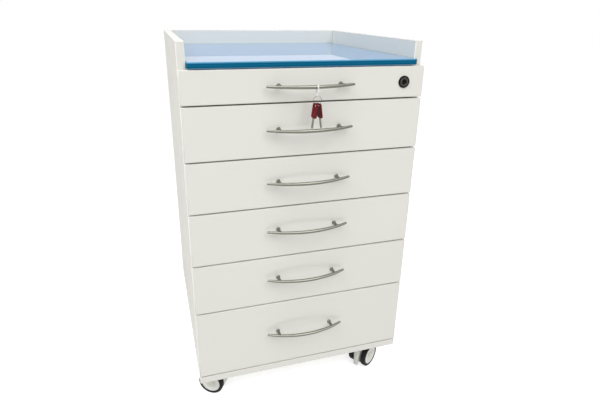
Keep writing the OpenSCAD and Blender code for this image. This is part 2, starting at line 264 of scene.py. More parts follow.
def zinc_plate(colour):
    """Zinc-plated steel: patches of crystal and a dull bloom."""
    mat, shader = new_material("zinc_plate", colour, 0.4, metallic=1.0)
    place = add_node(mat, "ShaderNodeTexCoord").outputs["Object"]
    cells = add_node(mat, "ShaderNodeTexVoronoi", {"Vector": place, "Scale": 260.0})
    tint(mat, shader, cells.outputs["Distance"], shades(colour, 0.86, 1.06))
    gloss(mat, shader, grain(mat, 140), 0.3, 0.5)
    relief(mat, shader, grain(mat, 900), 0.02 * MM, 0.4)
    return mat


def black_plate(name, colour, shine):
    """Black plated lock metal with a soft sheen."""
    mat, shader = new_material(name, colour, 0.34, specular_ior_level=shine)
    tint(mat, shader, grain(mat, 250), shades(colour, 0.7, 1.4))
    gloss(mat, shader, grain(mat, 400), 0.28, 0.42)
    relief(mat, shader, grain(mat, 2500), 0.015 * MM)
    return mat


def key_steel(name, colour):
    """Milled steel: lines along the blade."""
    mat, shader = new_material(name, colour, 0.3, metallic=1.0)
    tint(mat, shader, grain(mat, 400), shades(colour, 0.85, 1.05))
    gloss(mat, shader, grain(mat, 900, (1, 1, 0.06), 2), 0.22, 0.4)
    relief(mat, shader, grain(mat, 2500, (1, 1, 0.04), 2), 0.02 * MM)
    return mat


def moulded_plastic(name, colour, roughness, shine=0.5):
    """Injection-moulded plastic with a fine spark-eroded skin."""
    mat, shader = new_material(name, colour, roughness, specular_ior_level=shine)
    tint(mat, shader, grain(mat, 90), shades(colour, 0.95, 1.02))
    gloss(mat, shader, grain(mat, 220), roughness - 0.06, roughness + 0.07)
    relief(mat, shader, grain(mat, 2200), 0.02 * MM)
    return mat


def tyre_rubber(colour):
    """Black soft tread, dusty and matt where it meets the floor."""
    mat, shader = new_material("tyre_rubber", colour, 0.6, specular_ior_level=0.2)
    dusty = [c * 2 + 0.004 for c in colour[:3]]
    tint(mat, shader, grain(mat, 160, detail=6), [(0.42, colour), (0.78, dusty)])
    gloss(mat, shader, grain(mat, 260), 0.5, 0.75)
    relief(mat, shader, grain(mat, 1800), 0.05 * MM)
    return mat


# ---------------------------------------------------------------- mesh tools

def finish_piece(name, bm, body, materials, replaced=(), sharp=SMOOTH_BELOW):
    """Turns a mesh into an object that rides on a body and stands for its nodes."""
    mesh = bpy.data.meshes.new(name)
    bm.to_mesh(mesh)
    bm.free()
    for material in materials:
        mesh.materials.append(material)
    if sharp:
        mesh.shade_smooth()
        mesh.set_sharp_from_angle(angle=math.radians(sharp))
    piece = bpy.data.objects.new(name, mesh)
    bpy.context.scene.collection.objects.link(piece)
    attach(piece, body)
    if replaced:
        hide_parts(*replaced)


def replace_node(name, node, bm, materials, sharp=SMOOTH_BELOW):
    """Finishes a piece that stands for one CAD node, on its body."""
    finish_piece(name, bm, NODES[node]["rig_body"], materials, [node], sharp)


def coat_node(node, material):
    """Gives a CAD node that is shown its own finish."""
    NODES[node].data.materials.clear()
    NODES[node].data.materials.append(material)


def mm(*lengths):
    """Lengths in millimetres, as a point or a pair in metres."""
    return tuple(length * MM for length in lengths)


def span(edge, axis):
    """How far an edge reaches along one axis."""
    return abs(edge.verts[0].co[axis] - edge.verts[1].co[axis])


def join(bm, other):
    """Adds the other mesh to this one, and frees it."""
    mesh = bpy.data.meshes.new("joining")
    other.to_mesh(mesh)
    other.free()
    bm.from_mesh(mesh)
    bpy.data.meshes.remove(mesh)


def round_edges(bm, edges, radius, segments=3):
    """Bevels edges; the strips are smooth and the faces between them stay flat."""
    made = bmesh.ops.bevel(bm, geom=edges, offset=radius, offset_type="OFFSET", segments=segments,
                           profile=0.5, affect="EDGES", clamp_overlap=True, material=-1)
    for face in made["faces"]:
        face.smooth = True


def corner_edges(bm, shortest):
    """Long edges where two faces meet at a clear angle."""
    return [e for e in bm.edges if len(e.link_faces) == 2 and e.calc_length() > shortest
            and e.calc_face_angle(0) > math.radians(40)]


def softened(node, radius, shortest=6 * MM, segments=3):
    """A copy of a CAD node, its flat faces whole again and its long edges rounded."""
    bm = bmesh.new()
    bm.from_mesh(NODES[node].data)
    bmesh.ops.remove_doubles(bm, verts=bm.verts, dist=0.002 * MM)
    bmesh.ops.dissolve_limit(bm, angle_limit=math.radians(1), verts=bm.verts, edges=bm.edges,
                             use_dissolve_boundaries=False, delimit={"NORMAL"})
    for face in bm.faces:
        face.smooth = False
    round_edges(bm, corner_edges(bm, shortest), radius, segments)
    return bm


def round_node(name, node, material, radius, shortest=6 * MM):
    """Replaces a CAD node by its own shape with rounded edges."""
    bm = softened(node, radius, shortest, segments=2)
    replace_node(name, node, bm, [material], sharp=0)


def seam(bm, at, normal, width, depth):
    """A fine groove round a board, where its edge band meets it."""
    normal = Vector(normal)
    for shift in (-width, 0, width):
        everything = bm.verts[:] + bm.edges[:] + bm.faces[:]
        bmesh.ops.bisect_plane(bm, geom=everything, dist=0.001 * MM,
                               plane_co=at + normal * shift, plane_no=normal)
    bm.normal_update()
    for vert in bm.verts:
        if abs((vert.co - at).dot(normal)) < width / 4:
            inward = vert.normal - normal * vert.normal.dot(normal)
            if inward.length > 0.1:
                vert.co -= inward.normalized() * depth


def lathe(points, steps, axis="Y"):
    """Spins an outline of (radius, distance along the axis) points."""
    bm = bmesh.new()
    verts = [bm.verts.new((r, along, 0)) for r, along in points]
    edges = [bm.edges.new(pair) for pair in zip(verts, verts[1:])]
    bmesh.ops.spin(bm, geom=verts + edges, cent=(0, 0, 0), axis=(0, 1, 0), angle=2 * math.pi,
                   steps=steps, use_merge=True, dvec=(0, 0, 0))
    bmesh.ops.remove_doubles(bm, verts=bm.verts, dist=0.005 * MM)
    bmesh.ops.recalc_face_normals(bm, faces=bm.faces)
    if axis == "Z":
        bm.transform(Matrix.Rotation(math.radians(90), 4, "X"))
    return bm


def closed(points):
    """The same outline, ended where it began."""
    return points + points[:1]


def slab(low, high):
    """A plain box between two corners, to be shaped further."""
    bm = bmesh.new()
    bmesh.ops.create_cube(bm, size=1)
    low, high = Vector(low), Vector(high)
    bmesh.ops.scale(bm, vec=high - low, verts=bm.verts)
    bmesh.ops.translate(bm, vec=(low + high) / 2, verts=bm.verts)
    return bm


def plate(points, low, high):
    """An outline in the XZ plane made into a plate between two Y values."""
    bm = bmesh.new()
    face = bm.faces.new([bm.verts.new((x, low, z)) for x, z in points])
    made = bmesh.ops.extrude_face_region(bm, geom=[face])["geom"]
    moved = [item for item in made if isinstance(item, bmesh.types.BMVert)]
    bmesh.ops.translate(bm, vec=(0, high - low, 0), verts=moved)
    bmesh.ops.recalc_face_normals(bm, faces=bm.faces)
    return bm


def arc(centre, radius, start, end, steps):
    """Points round part of a circle, angles in degrees."""
    x, y = centre
    turns = [math.radians(start + (end - start) * i / steps) for i in range(steps + 1)]
    return [(x + radius * math.cos(t), y + radius * math.sin(t)) for t in turns]


def carve(bm, tool):
    """Cuts the tool's shape out of a closed mesh."""
    objects = []
    for part in (bm, tool):
        mesh = bpy.data.meshes.new("carving")
        part.to_mesh(mesh)
        part.free()
        objects.append(bpy.data.objects.new("carving", mesh))
        bpy.context.scene.collection.objects.link(objects[-1])
    cut = objects[0].modifiers.new("cut", "BOOLEAN")
    cut.operation = "DIFFERENCE"
    cut.solver = "EXACT"
    cut.object = objects[1]
    result = bmesh.new()
    result.from_object(objects[0], bpy.context.evaluated_depsgraph_get())
    for item in objects:
        bpy.data.meshes.remove(item.data)
    return result


def screw_head(radius, thickness):
    """A domed head on its flat underside, facing +Y, with a cross recess."""
    rises = [math.radians(15 * i) for i in range(6)]
    dome = [(radius * math.cos(t), thickness * (0.25 + 0.75 * math.sin(t))) for t in rises]
    head = lathe([(0, 0), (radius, 0)] + dome + [(0, thickness)], steps=24)
    wide, narrow, floor = radius * 0.55, radius * 0.12, thickness * 0.35
    for x, z in ((wide, narrow), (narrow, wide)):
        head = carve(head, slab((-x, floor, -z), (x, thickness * 1.5, z)))
    return head


# ---------------------------------------------------------------- settings

class BoardSettings(bpy.types.PropertyGroup):
    """Sizes and colours of the boards."""
    edge_radius: FloatProperty(
        name="Edge radius", description="Rounding of the fronts' and gallery's edges",
        default=1.2 * MM, min=0.3 * MM, max=3 * MM, unit="LENGTH")
    band: FloatProperty(
        name="Edge band", description="Thickness of the band glued on a board's edge",
        default=1.5 * MM, min=1.3 * MM, max=3 * MM, unit="LENGTH")
    seam_width: FloatProperty(
        name="Seam width", description="Half the width of the seam at the band",
        default=0.2 * MM, min=0.05 * MM, max=0.3 * MM, unit="LENGTH")
    seam_depth: FloatProperty(
        name="Seam depth", description="Depth of the seam at the band",
        default=0.25 * MM, min=0.05 * MM, max=0.4 * MM, unit="LENGTH")
    colour: FloatVectorProperty(
        name="Board colour", description="Gloss lacquer on fronts and carcass",
        default=(0.80, 0.79, 0.735), subtype="COLOR", size=3, min=0, max=1)
    box_colour: FloatVectorProperty(
        name="Box colour", description="Melamine of the drawer boxes",
        default=(0.76, 0.76, 0.73), subtype="COLOR", size=3, min=0, max=1)
    steel_colour: FloatVectorProperty(
        name="Steel colour", description="Zinc plate of runners and screws",
        default=(0.62, 0.63, 0.65), subtype="COLOR", size=3, min=0, max=1)


class GlassSettings(bpy.types.PropertyGroup):
    """The glass top."""
    arris: FloatProperty(
        name="Arris", description="Polished bevel along the plate's edges",
        default=1.2 * MM, min=0.3 * MM, max=2 * MM, unit="LENGTH")
    corner: FloatProperty(
        name="Corner radius", description="Rounding of the plate's corners",
        default=6 * MM, min=2 * MM, max=12 * MM, unit="LENGTH")
    tint: FloatVectorProperty(
        name="Tint", description="Colour of light through the plate",
        default=(0.28, 0.57, 0.95), subtype="COLOR", size=3, min=0, max=1)
    deep: FloatVectorProperty(
        name="Edge, deep", description="Colour inside the plate's edge",
        default=(0.001, 0.088, 0.19), subtype="COLOR", size=3, min=0, max=1)
    # Painted highlight: the colour that the highlights painted on the edge are made from, brightest
    # along the top arris.
    bright: FloatVectorProperty(
        name="Edge, bright", description="Colour of the lit arris lines",
        default=(0.11, 0.37, 0.57), subtype="COLOR", size=3, min=0, max=1)


class HandleSettings(bpy.types.PropertyGroup):
    """The bow handles."""
    middle: FloatProperty(
        name="Middle radius", description="Half the bar's thickness in its middle",
        default=3.7 * MM, min=2.5 * MM, max=5 * MM, unit="LENGTH")
    tip: FloatProperty(
        name="Tip radius", description="Half the bar's thickness near its ends",
        default=2.3 * MM, min=1.5 * MM, max=3.5 * MM, unit="LENGTH")
    post: FloatProperty(
        name="Post radius", description="Half a post's thickness",
        default=3.6 * MM, min=2.5 * MM, max=5 * MM, unit="LENGTH")
    colour: FloatVectorProperty(
        name="Nickel colour", description="Satin nickel of the handles",
        default=(0.30, 0.295, 0.255), subtype="COLOR", size=3, min=0, max=1)
    # Painted shade: the colour painted on each bar's lower half, darker than the plain nickel.
    painted_shade: FloatVectorProperty(
        name="Painted_underside_shade", description="The nickel on the handles' underside",
        default=(0.15, 0.145, 0.125), subtype="COLOR", size=3, min=0, max=1)


class LockSettings(bpy.types.PropertyGroup):
    """The lock and what hangs by it."""
    colour: FloatVectorProperty(
        name="Lock colour", description="Black plate of the lock",
        default=(0.006, 0.006, 0.005), subtype="COLOR", size=3, min=0, max=1)
    worn_colour: FloatVectorProperty(
        name="Worn colour", description="Rubbed plate of the ring round the plug",
        default=(0.045, 0.045, 0.04), subtype="COLOR", size=3, min=0, max=1)
    head_colour: FloatVectorProperty(
        name="Key head colour", description="Plastic of the key heads",
        default=(0.14, 0.003, 0.009), subtype="COLOR", size=3, min=0, max=1)
    blade_colour: FloatVectorProperty(
        name="Blade colour", description="Steel of the key blades",
        default=(0.38, 0.36, 0.32), subtype="COLOR", size=3, min=0, max=1)
    ring_colour: FloatVectorProperty(
        name="Ring colour", description="Steel wire of the split ring",
        default=(0.22, 0.21, 0.19), subtype="COLOR", size=3, min=0, max=1)
    tie_colour: FloatVectorProperty(
        name="Tie colour", description="Nylon of the tie",
        default=(0.80, 0.80, 0.78), subtype="COLOR", size=3, min=0, max=1)


class CasterSettings(bpy.types.PropertyGroup):
    """The casters."""
    ribs: IntProperty(
        name="Tread ribs", description="Number of ribs round a tyre",
        default=56, min=24, max=90)
    rib_depth: FloatProperty(
        name="Rib depth", description="Depth of the grooves between the ribs",
        default=0.3 * MM, min=0.1 * MM, max=1.5 * MM, unit="LENGTH")
    tyre_colour: FloatVectorProperty(
        name="Tyre colour", description="Tread rubber",
        default=(0.004, 0.004, 0.0045), subtype="COLOR", size=3, min=0, max=1)
    hub_colour: FloatVectorProperty(
        name="Hub colour", description="Plastic of the wheel discs",
        default=(0.80, 0.80, 0.76), subtype="COLOR", size=3, min=0, max=1)
    cap_colour: FloatVectorProperty(
        name="Cap colour", description="Plastic of the caps on the wheel discs",
        default=(0.70, 0.69, 0.62), subtype="COLOR", size=3, min=0, max=1)
    hood_colour: FloatVectorProperty(
        name="Hood colour", description="Plastic of the hoods",
        default=(0.78, 0.80, 0.74), subtype="COLOR", size=3, min=0, max=1)


class StageSettings(bpy.types.PropertyGroup):
    """Floor, light and camera."""
    floor_colour: FloatVectorProperty(
        name="Floor colour", description="Pale studio floor",
        default=(0.70, 0.70, 0.70), subtype="COLOR", size=3, min=0, max=1)
    floor_lift: FloatProperty(
        name="Floor lift", description="Brightness of its own that the floor is seen with",
        default=0.70, min=0, max=1, subtype="FACTOR")
    sky: FloatProperty(
        name="Sky strength", description="Light from all round",
        default=0.45, min=0, max=2)
    key: FloatProperty(
        name="Key power", description="Watts of the main lamp",
        default=55, min=0, max=400, unit="POWER")
    fill: FloatProperty(
        name="Fill power", description="Watts of the lamp at the upper left",
        default=58, min=0, max=400, unit="POWER")


# ---------------------------------------------------------------- pieces

class CABINET_OT_boards(bpy.types.Operator):
    """Carcass boards with banded, rounded edges"""
    bl_idname = "cabinet.boards"
    bl_label = "Carcass Boards"

    def execute(self, context):
        choice = context.scene.cabinet_boards
        satin = lacquered_board("satin_board", choice.colour, 0.5, 0.12)
        gloss_white = lacquered_board("gloss_board", choice.colour, 0.16, 0.5)
        groove = (choice.seam_width, choice.seam_depth)
        for node in CARCASS:
            low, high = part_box(node)
            bm = softened(node, choice.edge_radius * (0.4 if node == "top_board" else 0.8))
            if node != "back_panel":
                seam(bm, Vector((0, low.y + choice.band, 0)), (0, 1, 0), *groove)
            if "panel" in node:
                seam(bm, Vector((0, 0, high.z - choice.band)), (0, 0, 1), *groove)
            if node.startswith("side_panel"):
                outside = low.x if low.x < 0 else high.x
                for face in bm.faces:
                    inwards = abs(face.calc_center_median().x - outside)
                    face.material_index = int(inwards < 0.05 * MM)
            name = node.replace("panel", "board") + "_banded"
            replace_node(name, node, bm, [gloss_white, satin], sharp=0)
        return {"FINISHED"}


class CABINET_OT_fronts(bpy.types.Operator):
    """Six drawer fronts with banded edges"""
    bl_idname = "cabinet.fronts"
    bl_label = "Drawer Fronts"

    def execute(self, context):
        choice = context.scene.cabinet_boards
        gloss_white = bpy.data.materials["gloss_board"]
        groove = (choice.seam_width, choice.seam_depth)
        for n in DRAWERS:
            node = f"drawer_front_{n}"
            low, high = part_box(node)
            bm = softened(node, choice.edge_radius)
            for x, way in ((low.x, 1), (high.x, -1)):
                seam(bm, Vector((x + way * choice.band, 0, 0)), (1, 0, 0), *groove)
            for z, way in ((low.z, 1), (high.z, -1)):
                seam(bm, Vector((0, 0, z + way * choice.band)), (0, 0, 1), *groove)
            replace_node(f"front_board_{n}", node, bm, [gloss_white], sharp=0)
        return {"FINISHED"}


class CABINET_OT_boxes(bpy.types.Operator):
    """Drawer boxes and their runners"""
    bl_idname = "cabinet.boxes"
    bl_label = "Drawer Boxes and Runners"

    def execute(self, context):
        choice = context.scene.cabinet_boards
        melamine = melamine_board(choice.box_colour)
        zinc = zinc_plate(choice.steel_colour)
        for n in DRAWERS:
            runners = f"drawer_runners_{n}"
            round_node(f"box_boards_{n}", f"drawer_box_{n}", melamine, BOX_EDGE)
            round_node(f"inner_channels_{n}", runners, zinc, CHANNEL_EDGE)
            finish_piece(f"channel_screws_{n}", channel_screws(runners, 1), f"drawer_{n}",
                         [zinc])
            finish_piece(f"outer_channel_screws_{n}", channel_screws(runners, -1), "cabinet",
                         [zinc])
        round_node("outer_channels", "cabinet_runners", zinc, CHANNEL_EDGE)
        return {"FINISHED"}


def channel_screws(node, outwards):
    """Three screw heads in each inner channel of a drawer, or in the outer ones that face them."""
    low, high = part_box(node)
    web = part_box("side_panel_right")[0].x if outwards < 0 else high.x - CHANNEL_DEPTH
    one = screw_head(*RUNNER_SCREW)
    screws = bmesh.new()
    for side in (-1, 1):
        x = side * (web + outwards * SHEET)
        for along in SCREWS_ALONG:
            screw = one.copy()
            screw.transform(Matrix.Rotation(math.radians(-90 * side * outwards), 4, "Z"))
            place = (x, low.y + (high.y - low.y) * along, (low.z + high.z) / 2)
            bmesh.ops.translate(screw, vec=place, verts=screw.verts)
            join(screws, screw)
    one.free()
    return screws


class CABINET_OT_glass(bpy.types.Operator):
    """Glass top with a polished edge, and its pads"""
    bl_idname = "cabinet.glass"
    bl_label = "Glass Top"

    def execute(self, context):
        choice = context.scene.cabinet_glass
        low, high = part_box("glass_top")
        bm = slab(low, high)
        round_edges(bm, [e for e in bm.edges if span(e, Z) > MM], choice.corner, 8)
        rim = [e for e in bm.edges if span(e, Z) < MM and e.calc_face_angle(0) > 0.5]
        round_edges(bm, rim, choice.arris, 3)
        for face in bm.faces:
            face.material_index = 0 if abs(face.normal.z) > 0.999 else 1
        surface = glass_surface(choice.tint)
        edge = glass_edge(choice.deep, choice.bright, low.z, high.z)
        replace_node("glass_plate", "glass_top", bm, [surface, edge], sharp=0)
        coat_node("glass_pads", soft_pad((0.85, 0.88, 0.9)))
        return {"FINISHED"}


def bow_bar(choice, out):
    """The bar in front of the drawer face: an arc that thins to rounded tips."""
    half = math.asin(BAR_LENGTH / 2 / BOW)
    centre = Vector((0, BOW - out, 0))
    bm = bmesh.new()
    bmesh.ops.create_circle(bm, cap_ends=True, radius=MM, segments=20)
    first = Matrix.Rotation(-half, 4, "Z") @ Matrix.Translation((0, -BOW, 0))
    bm.transform(first @ Matrix.Rotation(math.radians(90), 4, "Y"))
    bmesh.ops.translate(bm, vec=centre, verts=bm.verts)
    bmesh.ops.spin(bm, geom=bm.verts[:] + bm.edges[:] + bm.faces[:], cent=centre, axis=(0, 0, 1),
                   angle=2 * half, steps=120, use_merge=False, dvec=(0, 0, 0))
    underside = bm.verts.layers.float.new("underside")
    for vert in bm.verts:
        vert[underside] = 0.5 - vert.co.z / (2 * MM)
    # The tube is 1 mm in radius so far, and each of its rings is scaled to the bar's own radius
    tip_start = 1 - choice.tip / (BOW * half)
    for vert in bm.verts:
        arm = vert.co - centre
        turn = math.atan2(arm.x, -arm.y)
        along = min(abs(turn) / half, 1)
        middle = centre + Vector((math.sin(turn), -math.cos(turn), 0)) * BOW
        fullness = math.cos(along * math.pi / 2) ** 0.8
        thick = choice.tip + (choice.middle - choice.tip) * fullness
        if along > tip_start:
            rest = (along - tip_start) / (1 - tip_start)
            thick *= math.sqrt(max(1 - rest * rest, 0.0004))
        vert.co = middle + (vert.co - middle) * (thick / MM)
    bmesh.ops.recalc_face_normals(bm, faces=bm.faces)
    return bm


def handle_post(radius, reach):
    """One post from the drawer face to the bar: a flared foot, a slim neck and a wider end."""
    neck = radius - 0.3 * MM
    outline = [mm(0, 0), mm(4.6, 0), mm(4.6, -0.8), (radius + 0.3 * MM, -1.6 * MM),
               (neck, -4 * MM), (neck, reach + 6 * MM),
               (radius, reach + 1 * MM), (0, reach + 1 * MM)]
    return lathe(outline, steps=32)


class CABINET_OT_handles(bpy.types.Operator):
    """Six bow handles, each with two posts and two screws"""
    bl_idname = "cabinet.handles"
    bl_label = "Bow Handles"

    def execute(self, context):
        choice = context.scene.cabinet_handles
        nickel = satin_nickel(choice.colour, choice.painted_shade)
        for n in DRAWERS:
            node = f"handle_{n}"
            low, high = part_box(node)
            out = FACE_Y - low.y - BAR_R
            bm = bow_bar(choice, out)
            reach = BOW - out - math.sqrt(BOW ** 2 - POST_X ** 2)
            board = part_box(f"drawer_front_{n}")[1].y - FACE_Y
            for x in (-POST_X, POST_X):
                screw = screw_head(*HANDLE_SCREW)
                bmesh.ops.translate(screw, vec=(0, board, 0), verts=screw.verts)
                for part in (handle_post(choice.post, reach), screw):
                    bmesh.ops.translate(part, vec=(x, 0, 0), verts=part.verts)
                    join(bm, part)
            bmesh.ops.translate(bm, vec=(0, FACE_Y, (low.z + high.z) / 2), verts=bm.verts)
            replace_node(f"bow_handle_{n}", node, bm, [nickel])
        return {"FINISHED"}


class CABINET_OT_lock(bpy.types.Operator):
    """Lock housing, plug with its keyway, nut, cam and striker"""
    bl_idname = "cabinet.lock"
    bl_label = "Lock"

    def execute(self, context):
        choice = context.scene.cabinet_lock
        black = black_plate("black_plate", choice.colour, 0.12)
        worn = black_plate("worn_plate", choice.worn_colour, 0.4)
        zinc = bpy.data.materials["zinc_plate"]
        replace_node("lock_housing", "lock_body", lock_housing(), [black, worn])
        replace_node("lock_plug_slotted", "lock_plug", lock_plug(), [black])
        for node, edge in (("lock_nut", FITTING_EDGE), ("lock_cam", 0.25 * MM),
                           ("lock_striker", 0.3 * MM)):
            round_node(node + "_rounded", node, zinc, edge, SHORT_EDGE)
        return {"FINISHED"}


def lock_housing():
    """Barrel and flange, with a rounded rim and a groove round a rubbed inner ring."""
    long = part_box("lock_body")[1].y - FACE_Y
    front = ((12.15, 1.9), (11.4, 2.35), (10.5, 2.5), (9.6, 2.5),
             (9.3, 2.2), (8.9, 2.2), (8.6, 2.5), (6.7, 2.5))
    outline = [(BORE_R, long), (BARREL_R, long), (BARREL_R, 0), (FLANGE_R, 0)]
    outline += [(FLANGE_R, -1.3 * MM)] + [mm(r, -ahead) for r, ahead in front]
    outline += [(BORE_R, -2.1 * MM)]
    housing = lathe(closed(outline), steps=72)
    bmesh.ops.translate(housing, vec=LOCK_AT, verts=housing.verts)
    for face in housing.faces:
        away = face.calc_center_median() - LOCK_AT
        rubbed = away.y < -1.5 * MM and math.hypot(away.x, away.z) < 8.8 * MM
        face.material_index = int(rubbed)
    return housing


def lock_plug():
    """The plug, with a raised rim and an upright keyway."""
    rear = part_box("lock_plug")[1].y - FACE_Y
    front = ((5.7, 2), (4.9, 2), (4.6, 1.6), (0, 1.6))
    outline = [(0, rear), (PLUG_R, rear), (PLUG_R, -1.6 * MM)]
    plug = lathe(outline + [mm(r, -ahead) for r, ahead in front], steps=64)
    plug = carve(plug, slab(mm(-0.9, -3, -3.8), mm(0.9, 11, 3.8)))
    bmesh.ops.translate(plug, vec=LOCK_AT, verts=plug.verts)
    return plug


class CABINET_OT_keys(bpy.types.Operator):
    """Tie, wire ring and two keys hanging from the top handle"""
    bl_idname = "cabinet.keys"
    bl_label = "Keys"

    def execute(self, context):
        choice = context.scene.cabinet_lock
        plastic = moulded_plastic("key_plastic", choice.head_colour, 0.42, 0.15)
        steel = key_steel("key_steel", choice.blade_colour)
        wire = key_steel("ring_steel", choice.ring_colour)
        nylon = moulded_plastic("nylon", choice.tie_colour, 0.45)
        replace_node("cable_tie", "key_tie", cable_tie(), [nylon], sharp=0)
        replace_node("split_ring", "key_ring", split_ring(), [wire])
        blade_at = Matrix.Translation((-BLADE[0] / 2, 0, HEAD_ABOVE - HEAD[1] - BLADE[1]))
        for k, side in ((1, -1), (2, 1)):
            node = f"key_{k}"
            hole = Vector(JOINTS[f"{node}_swing"]["pos_m"]) - Vector((0, 0, KEY_DROP))
            tilt = Matrix.Rotation(-side * KEY_TILT, 4, "Y")
            place = Matrix.Translation(hole) @ tilt @ Matrix.Rotation(KEY_TURN, 4, "Z")
            head = key_head()
            head.transform(place)
            replace_node(f"key_head_{k}", node, head, [plastic])
            blade = key_blade()
            blade.transform(place @ blade_at)
            finish_piece(f"key_blade_{k}", blade, node, [steel])
        return {"FINISHED"}


def cable_tie():
    """The band round the bar and the ring, with its locking head and the cut-off end."""
    tie = softened("key_tie", 0.25 * MM, shortest=0.2 * MM, segments=2)
    head = slab(mm(-2.3, -6, -10.5), mm(2.3, -3, -6))
    round_edges(head, head.edges[:], 0.5 * MM, 2)
    end = slab(mm(-1.2, -5.2, -17), mm(1.2, -4.3, -9))
    round_edges(end, end.edges[:], 0.2 * MM, 1)
    root = Vector(mm(0, 0, -9))
    lean = Matrix.Rotation(math.radians(24), 4, "Y")
    end.transform(Matrix.Translation(root) @ lean @ Matrix.Translation(-root))
    for part in (head, end):
        bmesh.ops.translate(part, vec=KEYS_AT, verts=part.verts)
        join(tie, part)
    return tie


def split_ring():
    """Two turns of wire, one beside the other."""
    low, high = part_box("key_ring")
    wire = (high.y - low.y) / 4
    radius = (high.x - low.x) / 2 - 2 * wire
    ring = bmesh.new()
    for side in (-1, 1):
        join(ring, lathe(closed(arc((radius + wire, side * wire), wire, 0, 330, 11)), steps=72))
    bmesh.ops.translate(ring, vec=(low + high) / 2, verts=ring.verts)
    return ring


def key_head():
    """A rounded plastic head with a thumb recess on both faces, its hole at the origin."""
    wide, tall, thick = HEAD
    head = slab((-wide / 2, -thick / 2, HEAD_ABOVE - tall), (wide / 2, thick / 2, HEAD_ABOVE))
    round_edges(head, [e for e in head.edges if span(e, Y) > thick / 2], 4.5 * MM, 6)
    for face in [f for f in head.faces if abs(f.normal.y) > 0.99]:
        for inwards, depth in (mm(0.5, 0), mm(3.2, 0), mm(0.5, -0.35)):
            bmesh.ops.inset_region(head, faces=[face], thickness=inwards, depth=depth)
    rim = [e for e in head.edges
           if e.calc_face_angle(0) > math.radians(60) and span(e, Y) < 0.01 * MM]
    round_edges(head, rim, 0.45 * MM, 2)
    hole = [(0, -thick), (HEAD_HOLE, -thick), (HEAD_HOLE, thick), (0, thick)]
    return carve(head, lathe(hole, steps=32))


def key_blade():
    """A flat blade with its tip down, a milled groove in each face and four cuts."""
    wide, tall, thick = BLADE
    points = [(0, BLADE_TIP), (wide / 2, 0), (wide, BLADE_TIP)]
    for i in range(4):
        depth = (0.85 + 0.28 * (i % 2)) * MM
        z = FIRST_CUT + CUT_PITCH * i
        points += [(wide, z - depth), (wide - depth, z), (wide, z + depth)]
    points += [(wide, tall + 1 * MM), (0, tall + 1 * MM)]
    blade = plate(points, -thick / 2, thick / 2)
    above = tall + 2 * MM
    front = slab((wide * 0.38, -thick, BLADE_TIP), (wide * 0.58, -thick * 0.22, above))
    rear = slab((wide * 0.18, thick * 0.22, BLADE_TIP), (wide * 0.34, thick, above))
    return carve(carve(blade, front), rear)


class CABINET_OT_casters(bpy.types.Operator):
    """Four twin-wheel casters with their plates and screws"""
    bl_idname = "cabinet.casters"
    bl_label = "Casters"

    def execute(self, context):
        choice = context.scene.cabinet_casters
        rubber = tyre_rubber(choice.tyre_colour)
        white = moulded_plastic("hub_plastic", choice.hub_colour, 0.3)
        cap = moulded_plastic("cap_plastic", choice.cap_colour, 0.3)
        grey = moulded_plastic("hood_plastic", choice.hood_colour, 0.36)
        zinc = bpy.data.materials["zinc_plate"]
        for n in CASTERS:
            swivel = Vector(JOINTS[f"caster_{n}_swivel"]["pos_m"])
            axle = Vector(JOINTS[f"caster_{n}_roll"]["pos_m"])
            ahead = axle - swivel
            turn = Matrix.Rotation(math.atan2(ahead.y, ahead.x), 4, "Z")
            hood = caster_hood(Vector((ahead.x, ahead.y)).length, axle.z)
            hood.transform(Matrix.Translation((swivel.x, swivel.y, 0)) @ turn)
            replace_node(f"hood_{n}", f"caster_hood_{n}", hood, [grey])
            discs = twin(wheel_disc())
            for face in discs.faces:
                centre = face.calc_center_median()
                on_cap = abs(centre.y) > 18 * MM and math.hypot(centre.x, centre.z) < 14.5 * MM
                face.material_index = int(on_cap)
            treads = twin(ribbed_tyre(choice.ribs, choice.rib_depth))
            for wheels in (discs, treads):
                wheels.transform(Matrix.Translation(axle) @ turn)
            replace_node(f"wheel_discs_{n}", f"caster_hubs_{n}", discs, [white, cap])
            replace_node(f"ribbed_tyres_{n}", f"caster_tyres_{n}", treads, [rubber], sharp=24)
            coat_node(f"caster_axle_{n}", zinc)
        for node in ("caster_plates", "caster_kingpins"):
            round_node(node + "_rounded", node, zinc, FITTING_EDGE, SHORT_EDGE)
        replace_node("plate_screws", "caster_screws", plate_screws(), [zinc])
        return {"FINISHED"}


def plate_screws():
    """Sixteen screws that hold the plates: a recessed head below and a shank in the board."""
    one = screw_head(*PLATE_SCREW)
    shank = ((0, 0.2), (1.9, 0.2), (1.9, -12), (0.4, -14), (0, -14))
    join(one, lathe([mm(*point) for point in shank], steps=16))
    one.transform(Matrix.Rotation(math.radians(-90), 4, "X"))
    screws = bmesh.new()
    for n in CASTERS:
        swivel = Vector(JOINTS[f"caster_{n}_swivel"]["pos_m"])
        for x in (-PLATE_HOLE, PLATE_HOLE):
            for y in (-PLATE_HOLE, PLATE_HOLE):
                screw = one.copy()
                place = (swivel.x + x, swivel.y + y, BASE_Z - PLATE_T)
                bmesh.ops.translate(screw, vec=place, verts=screw.verts)
                join(screws, screw)
    one.free()
    return screws


